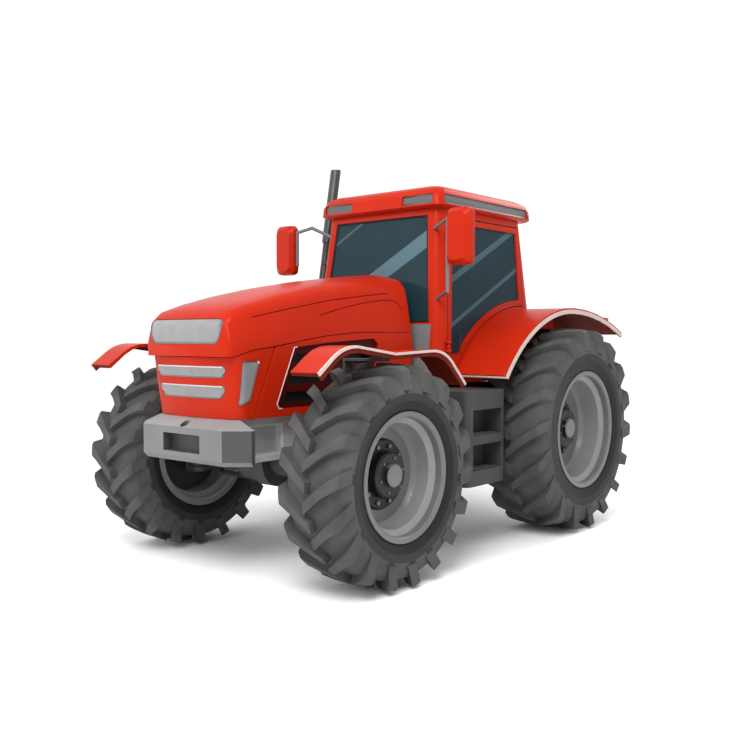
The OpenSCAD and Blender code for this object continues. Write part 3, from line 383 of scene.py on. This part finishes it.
def new_piece(name, mesh, look, body, bevel=0.0):
    b = bmesh.new()
    b.from_mesh(mesh)
    bmesh.ops.recalc_face_normals(b, faces=b.faces)
    mark_edges(b)
    b.to_mesh(mesh)
    b.free()
    obj = bpy.data.objects.new(name, mesh)
    bpy.context.scene.collection.objects.link(obj)
    if bevel:
        m = obj.modifiers.new("edge", "BEVEL")
        m.width = bevel
        m.segments = 2
        m.limit_method = "ANGLE"
        m.harden_normals = True
    return put(obj, look, body)


def studs(name, centre, side, circle, count, r, height, look, body, start=0.0, corners=6):
    x, y, z = centre
    mesh = bpy.data.meshes.new(name)
    b = bmesh.new()
    for k in range(count):
        a = math.radians(start) + math.tau * k / count
        foot = at(x + side * height / 2, y + circle * math.cos(a), z + circle * math.sin(a))
        bmesh.ops.create_cone(b, cap_ends=True, segments=corners, radius1=r / 1000,
                              radius2=r * TAPER / 1000, depth=height / 1000,
                              matrix=Matrix.Translation(foot) @ Matrix.Rotation(math.pi / 2, 4, "Y"))
    b.to_mesh(mesh)
    b.free()
    return new_piece(name, mesh, look, body)


for end, (rim, disc, hub) in RIMS.items():
    for side, hand in SIDES:
        wheel = end + "_" + hand
        body = "wheel_" + wheel
        x, y, r = joint(body + "_spin")
        face = x + side * disc
        studs("nuts_" + wheel, (face + side * NUTS_OUT, y, r), side, circle=hub + 36, count=10, r=17,
              height=16, look="bolt", body=body)
        studs("cap_bolts_" + wheel, (face + side * CAP_OUT, y, r), side, circle=hub * 0.74, count=6, r=9,
              height=8, look="bolt", body=body, start=15)
        studs("valve_" + wheel, (face + side * VALVE_OUT, y, r), side, circle=rim - 70, count=1, r=9,
              height=60, look="seal", body=body, start=200, corners=12)
print("wheels bolted:", len(RIMS) * len(SIDES))

# %% [markdown]
# ## Mudguards
# A pale strip, a painted highlight of the rolled edge, follows each guard's rim, the undersides get a
# dull brown painted shade, and a rubber flap closes the rear arch. A curve with a round bevel would give
# a wire, but the edge is a flat strip, so it is a ribbon between two copies of the guard's own line at
# different heights. Two helpers come first: a loft joins closed loops, and a rod follows a row of points.

# %% Ribbons and rods
def loft(name, loops, look, body, bevel=0.0):
    n = len(loops[0])
    verts = [v for l in loops for v in l]
    faces = [tuple(range(n)), tuple(range(len(verts) - n, len(verts)))]
    for k in range(len(loops) - 1):
        for i in range(n):
            j = (i + 1) % n
            faces.append((k * n + i, k * n + j, (k + 1) * n + j, (k + 1) * n + i))
    mesh = bpy.data.meshes.new(name)
    mesh.from_pydata(verts, [], faces)
    return new_piece(name, mesh, look, body, bevel=bevel)


def rod(name, points, r, look, body):
    curve = bpy.data.curves.new(name, "CURVE")
    curve.dimensions = "3D"
    curve.bevel_depth = r / 1000
    curve.bevel_resolution = 4
    curve.use_fill_caps = True
    line = curve.splines.new("POLY")
    line.points.add(len(points) - 1)
    for p, v in zip(line.points, points):
        p.co = (*at(*v), 1)
    holder = bpy.data.objects.new(name + "_path", curve)
    mesh = bpy.data.meshes.new_from_object(holder)
    bpy.data.objects.remove(holder)
    return new_piece(name, mesh, look, body)


print("ribbons and rods ready")

# %% [markdown]
# ## The guards' lines
# A front guard rises from its tip to a rounded crown, dips over the axle and falls away behind. A
# rear guard is two arcs that meet at its crest. The points could be read off the mesh, but the same
# few numbers that shaped the construction model give cleaner lines, at any distance from the guard.

# %% Guard lines
FRONT_GUARD_R = 777
CREST_Y, CREST_Z = 2410, 1880
FRONT_ARC_R, FRONT_RUN = 1350, 1080
REAR_ARC_R, REAR_RUN = 2400, 980


def bend(a, b, c, n):
    steps = [i / n for i in range(n + 1)]
    return [[a[k] * (1 - t) ** 2 + 2 * b[k] * t * (1 - t) + c[k] * t * t for k in (0, 1)] for t in steps]


def front_line(off):
    r = FRONT_GUARD_R + off
    tip = [-0.955 * r, 0.868 * r - 4 + off * 0.3]
    crown = bend([-0.80 * r, 0.985 * r], [-0.68 * r, 1.075 * r], [-0.52 * r, 1.068 * r], 8)
    saddle = [-0.05 * r, 1.004 * r]
    tail = bend([0.44 * r, 1.022 * r], [0.62 * r, 1.03 * r], [0.74 * r, 0.92 * r], 8)
    return [tip] + crown + [saddle] + tail + [[0.95 * r, 0.715 * r]]


def rear_line(off):
    foot = 90 + math.degrees(math.asin(FRONT_RUN / FRONT_ARC_R))
    tip = 90 - math.degrees(math.asin(REAR_RUN / REAR_ARC_R))
    out = []
    for r, start, stop, steps in ((FRONT_ARC_R, foot, 90, 16), (REAR_ARC_R, 89, tip, 8)):
        for i in range(steps + 1):
            a = math.radians(start + (stop - start) * i / steps)
            out.append([CREST_Y + (r + off) * math.cos(a), CREST_Z - r + (r + off) * math.sin(a)])
    return out


print("points on a guard's line:", len(front_line(0)), "and", len(rear_line(0)))

# %% [markdown]
# ## Edges, feet and flaps
# The strip stands a few millimetres out from the guard's side, as a rolled lip does. Each guard's
# downward faces, and the outer faces of a front guard's lip, take the dull brown painted shade from
# their own direction, which saves a second shell. The flap is a thin sheet in the same painted shade
# that hangs from the rear guard, and a round foot, pale with the painted highlight, ends the guard at
# the step.

# %% Guard edges and flaps
FRONT_LIP, FRONT_EDGE_X = (21, 4), (1164, 1177)
REAR_LIP, REAR_EDGE_X = (-14, -49), (1134, 1147)
STRIP_EDGE = 0.002
FOOT_R, FOOT_X = 11, (690, 1140)
FLAP_X = (655, 667)
FLAP_Y = (2800, 3330)
FLAP_DROP = 330
LIP_MIDDLE = -22
FACES_OUT, FACES_DOWN = 0.7, -0.15
front_wheel_z = joint("wheel_front_left_spin")[2]


def edging(name, high, low, side, across, rise, body):
    x0, x1 = [side * x for x in across]
    loops = []
    for (y, z), (y_low, z_low) in zip(high, low):
        top = [at(x, y, z + rise) for x in (x0, x1)]
        loops.append(top + [at(x, y_low, z_low + rise) for x in (x1, x0)])
    return loft(name, loops, "trim", body, STRIP_EDGE)


def flap(name, side):
    loops = []
    for y, z in rear_line(LIP_MIDDLE):
        if FLAP_Y[0] < y < FLAP_Y[1]:
            top = [at(side * x, y, z) for x in FLAP_X]
            loops.append(top + [at(side * x, y, z - FLAP_DROP) for x in reversed(FLAP_X)])
    return loft(name, loops, "under", "chassis")


for side, hand in SIDES:
    high, low = [front_line(off) for off in FRONT_LIP]
    edging("front_edge_" + hand, high, low, side, FRONT_EDGE_X, front_wheel_z, "knuckle_" + hand)
    high, low = [rear_line(off) for off in REAR_LIP]
    edging("rear_edge_" + hand, high, low, side, REAR_EDGE_X, 0, "chassis")
    y, z = rear_line(LIP_MIDDLE)[0]
    rod("rear_foot_" + hand, [(side * x, y, z) for x in FOOT_X], FOOT_R, "trim", "chassis")
    flap("flap_" + hand, side)
    # painted shade: downward faces, and a front guard's outer lip faces, get the dull brown
    for n in ("front_guard_" + hand, "rear_guard_" + hand):
        mesh = skins[n].data
        mesh.materials.append(looks["under"])
        for f in mesh.polygons:
            lip = n.startswith("front") and f.normal.x * side > FACES_OUT
            f.material_index = int(f.normal.z < FACES_DOWN or lip)
print("guards edged:", 2 * len(SIDES))

# %% [markdown]
# ## Pins that turn in their holes
# Kingpins and the lift shaft turn in close bores. Here both are many-sided, and their corners would
# meet as they turn. More sides would only make the overlap smaller, so every point of such a pin
# moves a third of a millimetre inwards, which nobody sees.

# %% Pins
KINGPIN_R, LIFT_SHAFT_R = 0.034, 0.035
PIN_SLACK = 0.0004
PIN_TAKE_OFF = 0.01


def slim(node, axis, middle, r):
    moved = 0
    for v in skins[node].data.vertices:
        off = v.co - middle
        off[axis] = 0
        if off.length < r + PIN_SLACK:
            v.co -= off * PIN_TAKE_OFF
            moved += 1
    return moved


moved = [slim("knuckle_" + hand, 2, at(*joint("steer_" + hand)), KINGPIN_R) for side, hand in SIDES]
moved.append(slim("lift_arms", 0, at(*joint("hitch_lift")), LIFT_SHAFT_R))
print("points moved on the pins:", moved)

# %% [markdown]
# ## Lamps
# A lamp is a lens in a frame. Two separate solids would do, but the lens and its frame share one
# face here, so that face is inset: the strip that stays round it becomes the frame, pale above as a
# painted highlight and dark below as painted shade, and the lens sits a few millimetres back. The roof
# panels' frames are dark all round, as painted shade.

# %% Lamp frames
LENS_DEPTH = 0.004
ABOVE_LENS = 0.02


def bezel(node, pick, width, above="bezel", below="bezel_shade"):
    mesh = skins[node].data
    mesh.materials.append(looks[above])
    mesh.materials.append(looks[below])
    b = bmesh.new()
    b.from_mesh(mesh)
    lens = [f for f in b.faces if pick(f.normal)]
    made = bmesh.ops.inset_region(b, faces=lens, thickness=width, depth=-LENS_DEPTH, use_even_offset=True)
    for f in made["faces"]:
        middle = f.calc_center_median()
        near = min((l.calc_center_median() for l in lens), key=lambda c: (c - middle).length)
        # painted highlight on the strip above the lens, painted shade below it
        f.material_index = 1 if middle.z > near.z + ABOVE_LENS else 2
    b.to_mesh(mesh)
    b.free()
    skins[node].modifiers.clear()
    return len(made["faces"])


strips = bezel("headlamp", lambda n: n.y < -0.35 or n.z > 0.6, 0.012)
strips += bezel("nose_lamps", lambda n: n.y < -0.3 or abs(n.x) > 0.75, 0.009)
# the roof panels' frames are painted shade all round
strips += bezel("roof_panels", lambda n: abs(n.y) > 0.8 or abs(n.x) > 0.8, 0.012, above="bezel_shade")
print("faces in the lamp frames:", strips)

# %% [markdown]
# ## Louvres
# The louvres let air out of the engine bay, and a driver sees only shade between them. Real depth
# would need a whole engine, so a black board, painted shade, stands behind each opening. A pale strip,
# a painted highlight, follows the front of the opening, and the side panel's own widths tell how far
# out it lies.

# %% Louvres
FOOT_Z, BELT_Z = 1105, 1600
# Along the bonnet: y, half width at the foot and half width at the belt
FLANK = [(-806, 372, 378), (-560, 432, 446), (-300, 436, 452), (0, 441, 460)]
LOUVRE_FRONT = [(-210, 1568), (-235, 1566), (-385, 1190), (-365, 1158), (-340, 1158)]
STRIP_R = 5
BOARD = ((372, -360, 1120), (376, 600, 1625))


def flank(y, z):
    for (y0, foot0, belt0), (y1, foot1, belt1) in zip(FLANK, FLANK[1:]):
        if y <= y1:
            t = (y - y0) / (y1 - y0)
            foot, belt = foot0 + (foot1 - foot0) * t, belt0 + (belt1 - belt0) * t
            return foot + (belt - foot) * (z - FOOT_Z) / (BELT_Z - FOOT_Z)


def brick(name, low, high, look, body, bevel=0.003):
    (x0, y0, z0), (x1, y1, z1) = low, high
    loops = [[at(x0, y0, z), at(x1, y0, z), at(x1, y1, z), at(x0, y1, z)] for z in (z0, z1)]
    return loft(name, loops, look, body, bevel)


for side, hand in SIDES:
    line = [(side * (flank(y, z) - 1), y, z) for y, z in LOUVRE_FRONT]
    # the pale strip is a painted highlight, and the black board behind is painted shade
    rod("louvre_edge_%d" % side, line, STRIP_R, "trim", "chassis")
    low, high = [(side * x, y, z) for x, y, z in BOARD]
    brick("louvre_shade_board_%d" % side, low, high, "seal", "chassis", 0)
print("louvre openings:", len(SIDES))

# %% [markdown]
# ## Creases in the bonnet
# Pressed sheet steel gets creases, which keep it stiff. A cut in the skin would need a denser mesh
# there, so each crease is a thin bead that lies half in the surface, in a darker red that is painted
# shade. Rays cast at the bonnet from the side find that surface, and the bead tilts with the bonnet.

# %% Creases
SHOULDER = [(-586, 1766), (-246, 1830), (150, 1896), (588, 1947), (800, 1968)]
SCALLOP = [(38, 1790), (266, 1844), (532, 1891), (754, 1916), (848, 1911), (904, 1890), (943, 1844)]
BEAD_R, BEAD_DEPTH, BEAD_STEP = 4.5, 2.5, 50
RAY_START = 1000
lid = skins["bonnet"].data
surface = BVHTree.FromPolygons([v.co for v in lid.vertices], [p.vertices for p in lid.polygons])


def crease(name, line, side):
    path = []
    for (y0, z0), (y1, z1) in zip(line, line[1:]):
        steps = max(1, round(math.hypot(y1 - y0, z1 - z0) / BEAD_STEP))
        for k in range(steps + 1):
            y, z = y0 + (y1 - y0) * k / steps, z0 + (z1 - z0) * k / steps
            spot = surface.ray_cast(at(side * RAY_START, y, z), Vector((-side, 0, 0)))[0]
            if not path or path[-1][1:] != (y, z):
                path.append((1000 * spot.x - side * BEAD_DEPTH, y, z))
    return rod(name, path, BEAD_R, "crease", body_of["bonnet"])


for side, hand in SIDES:
    crease("shoulder_crease_%d" % side, SHOULDER, side)
    crease("scallop_crease_%d" % side, SCALLOP, side)
print("creases laid:", 2 * len(SIDES))

# %% [markdown]
# ## Cab trim
# Black rubber runs round the windscreen, the mirrors get their glass, and the door has a pull. The
# cab's walls lean, so two short functions give the wall's place at any height, and the trim follows
# them. The seal could be inset in the pane, but a rod is truer: real seals are round cords, pressed
# into a gap.

# %% Cab trim
CAB_FOOT_Z, CAB_TOP_Z = 1270, 2655
CAB_FRONT_Y, FRONT_LEAN = 1075, 150
CAB_HALF_W, SIDE_LEAN = 700, 102
SCREEN = [(-555, 1760), (555, 1760), (477, 2594), (-477, 2594), (-555, 1760)]
MIRROR = ((837, 1072, 2204), (1009, 1078, 2576))
SEAL_R, SEAL_IN = 7, 8
PULL_R, PULL_FOOT, PULL_OUT = 9, 4, 26


def lean(z):
    return (z - CAB_FOOT_Z) / (CAB_TOP_Z - CAB_FOOT_Z)


def cab_y(z):
    return CAB_FRONT_Y + FRONT_LEAN * lean(z)


def cab_x(z):
    return CAB_HALF_W - SIDE_LEAN * lean(z)


rod("screen_seal", [(x, cab_y(z) + SEAL_IN, z) for x, z in SCREEN], SEAL_R, "seal", "chassis")
for side, hand in SIDES:
    low, high = [(side * x, y, z) for x, y, z in MIRROR]
    brick("mirror_glass_%d" % side, low, high, "silver", "chassis")
pull = [(cab_x(1620) + PULL_FOOT, 1345, 1520), (cab_x(1520) + PULL_OUT, 1350, 1530),
        (cab_x(1640) + PULL_OUT, 1378, 1640), (cab_x(1650) + PULL_FOOT, 1382, 1650)]
rod("door_pull", pull, PULL_R, "seal", "door")
print("cab trim on, front post leans", FRONT_LEAN, "mm")

# %% [markdown]
# ## Fittings
# Small things give the scale: ribs on the steps, the tank's filler neck and splines on the drive
# shaft. They could be cut into the skins, but as bricks and rods of their own they leave those skins
# clean, and nothing finer would show at this size.

# %% Steps, filler and shaft
STEP_ZS = (640, 900)
STEP_Y = (1030, 1370)
TREAD_X, TREAD_PITCH, TREAD_W, TREADS = 940, 30, 12, 4
TREAD_SUNK, TREAD_PROUD, TREAD_EDGE = 2, 5, 0.002
FILLER_R, FILLER = 46, [(760, 1010, 1233), (760, 1010, 1252)]
SHAFT_Z, SHAFT_Y = 680, (2655, 2757)
SPLINES, SPLINE_CIRCLE, SPLINE_R = 6, 16.5, 3.2
for z in STEP_ZS:
    for k in range(TREADS):
        x = TREAD_X + TREAD_PITCH * k
        low, high = (x, STEP_Y[0], z - TREAD_SUNK), (x + TREAD_W, STEP_Y[1], z + TREAD_PROUD)
        brick("tread_%d_%d" % (z, k), low, high, "bolt", "chassis", TREAD_EDGE)
rod("filler_neck", FILLER, FILLER_R, "seal", "chassis")
for k in range(SPLINES):
    a = math.tau * k / SPLINES
    x, z = SPLINE_CIRCLE * math.cos(a), SHAFT_Z + SPLINE_CIRCLE * math.sin(a)
    rod("spline_%d" % k, [(x, y, z) for y in SHAFT_Y], SPLINE_R, "bolt", "chassis")
print("treads:", TREADS * len(STEP_ZS), "splines:", SPLINES)

# %% [markdown]
# ## Painted shade and highlight on the bumper
# The bumper is a heavy folded plate, so each of its planes meets the light in its own way. Lamps
# alone don't part them clearly in a bright room. Its slanting ends and its pocket get painted shade
# and its top a painted highlight, picked by each face's direction.

# %% Painted shade and highlight on the bumper
POCKET_HALF_W = 0.195
POCKET_Z = (0.875, 1.005)
POCKET_Y = at(0, -835, 0).y
FACES_ASIDE, FACES_UP = 0.5, 0.3
bumper = skins["front_bumper"].data
for look in ("bumper_shade", "bumper_highlight"):
    bumper.materials.append(looks[look])
# painted shade on slanting faces and the pocket, painted highlight on upward faces
for f in bumper.polygons:
    c = f.center
    pocket = abs(c.x) < POCKET_HALF_W and POCKET_Z[0] < c.z < POCKET_Z[1] and c.y > POCKET_Y
    if pocket or abs(f.normal.x) > FACES_ASIDE:
        f.material_index = 1
    else:
        f.material_index = 2 if f.normal.z > FACES_UP else 0
print("bumper faces:", len(bumper.polygons))

# %% [markdown]
# ## A soft seat
# The driver's seat has two foam cushions under tight cloth. A rounded box would look hard, so each
# cushion starts as a slightly smaller copy of its block with an even net of small faces, and cloth
# with inner pressure and no gravity blows it up for twenty frames. No point may leave the block's box.

# %% Seat
SHRINK = 0.965
NET = 0.008
PUFF_FRAMES = 20
PRESSURE, STIFFNESS = 4, 40


def cushion(node):
    box = [nodes[node].matrix_world @ Vector(c) for c in nodes[node].bound_box]
    low = Vector([min(v[k] for v in box) for k in range(3)])
    high = Vector([max(v[k] for v in box) for k in range(3)])
    mid = (low + high) / 2
    mesh = nodes[node].data.copy()
    mesh.transform(Matrix.Translation(mid) @ Matrix.Scale(SHRINK, 4) @ Matrix.Translation(-mid))
    obj = bpy.data.objects.new(node + "_soft", mesh)
    bpy.context.scene.collection.objects.link(obj)
    net = obj.modifiers.new("net", "REMESH")
    net.mode = "VOXEL"
    net.voxel_size = NET
    ease = obj.modifiers.new("ease", "SMOOTH")
    ease.factor = 0.5
    ease.iterations = 6
    cloth = obj.modifiers.new("air", "CLOTH")
    cloth.settings.use_pressure = True
    cloth.settings.uniform_pressure_force = PRESSURE
    cloth.settings.tension_stiffness = STIFFNESS
    cloth.settings.compression_stiffness = STIFFNESS
    cloth.settings.effector_weights.gravity = 0
    cloth.point_cache.frame_end = PUFF_FRAMES
    for f in range(1, PUFF_FRAMES + 1):
        bpy.context.scene.frame_set(f)
    graph = bpy.context.evaluated_depsgraph_get()
    soft = bpy.data.meshes.new_from_object(obj.evaluated_get(graph))
    bpy.context.scene.frame_set(1)
    bpy.data.objects.remove(obj)
    for v in soft.vertices:
        v.co = [min(max(v.co[k], low[k]), high[k]) for k in range(3)]
    obj = new_piece(node + "_soft", soft, "seat_cloth", body_of[node])
    finer = obj.modifiers.new("finer", "SUBSURF")
    finer.levels = 1
    finer.render_levels = 1
    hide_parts(node)
    return obj


pads = [cushion(n) for n in PADS]
print("cushions:", [len(p.data.vertices) for p in pads])

# %% [markdown]
# ## Camera
# The camera stands where the picture was seen from. It could be moved about until the outlines
# agree, but two vanishing points in the picture give its direction and focal length at once, and
# the horizon gives its height.

# %% Camera
scene = bpy.context.scene
cam = bpy.data.objects.new("camera", bpy.data.cameras.new("camera"))
scene.collection.objects.link(cam)
cam.data.sensor_width = 36
cam.data.lens = 42.58
turn = math.radians(40)
dip = math.radians(2.58)
back = Vector((math.sin(turn) * math.cos(dip), -math.cos(turn) * math.cos(dip), math.sin(dip)))
cam.location = at(4719, -4475, 1650)
cam.rotation_mode = "QUATERNION"
cam.rotation_quaternion = (-back).to_track_quat("-Z", "Y")
scene.camera = cam
print("camera at", [round(c, 2) for c in cam.location])

# %% [markdown]
# ## Floor
# The tractor stands on a white studio floor. A curved backdrop is usual in a studio, but a large
# flat sheet under a white room does the same here, and it keeps the wheels' soft shadows.

# %% Floor
HALF_FLOOR = 40
corners = [(-HALF_FLOOR, -HALF_FLOOR, 0), (HALF_FLOOR, -HALF_FLOOR, 0), (HALF_FLOOR, HALF_FLOOR, 0),
           (-HALF_FLOOR, HALF_FLOOR, 0)]
floor_mesh = bpy.data.meshes.new("floor")
floor_mesh.from_pydata(corners, [], [(0, 1, 2, 3)])
floor = bpy.data.objects.new("floor", floor_mesh)
scene.collection.objects.link(floor)
floor.data.materials.append(finish("floor", (0.97, 0.97, 0.97), 0.9, vary=0.005, scale=0.4, shine=0.05))
print("floor:", 2 * HALF_FLOOR, "m square")

# %% [markdown]
# ## Light
# Daylight outdoors comes from everywhere, with one bright side. Hard lamps would burn the red out,
# so the room itself gives most of the light, a little less from the tractor's left, and three large
# discs shape it: a key from the front, a weak fill and one from behind. The Standard view keeps the
# white plain.

# %% Light
LAMPS = {"key": ((3.6, -6.2, 7.6), (0, 0, 1.0), 700, 5), "fill": ((-7, -6, 4), (0, 0, 1.2), 120, 6),
         "rim": ((1, 8, 7), (0, 0, 1.5), 250, 5)}
BRIGHT_SIDE, DIM_SIDE, DIM_FROM = 1.12, 0.9, 0.8


def lamp(name, place, aim, power, size):
    light = bpy.data.lights.new(name, "AREA")
    light.energy = power
    light.shape = "DISK"
    light.size = size
    o = bpy.data.objects.new(name, light)
    o.location = place
    o.rotation_mode = "QUATERNION"
    o.rotation_quaternion = (Vector(aim) - Vector(place)).to_track_quat("-Z", "Y")
    scene.collection.objects.link(o)


for name, settings in LAMPS.items():
    lamp(name, *settings)
scene.view_settings.view_transform = "Standard"
world = bpy.data.worlds.new("room")
scene.world = world
world.use_nodes = True
room = world.node_tree
glow = room.nodes["Background"]
glow.inputs["Color"].default_value = (1, 1, 1, 1)
where = room.nodes.new("ShaderNodeTexCoord")
split = room.nodes.new("ShaderNodeSeparateXYZ")
shade = room.nodes.new("ShaderNodeMapRange")
shade.inputs["From Max"].default_value = DIM_FROM
shade.inputs["To Min"].default_value = BRIGHT_SIDE
shade.inputs["To Max"].default_value = DIM_SIDE
room.links.new(where.outputs["Generated"], split.inputs["Vector"])
room.links.new(split.outputs["X"], shade.inputs["Value"])
room.links.new(shade.outputs["Result"], glow.inputs["Strength"])
print("lamps:", len(LAMPS))
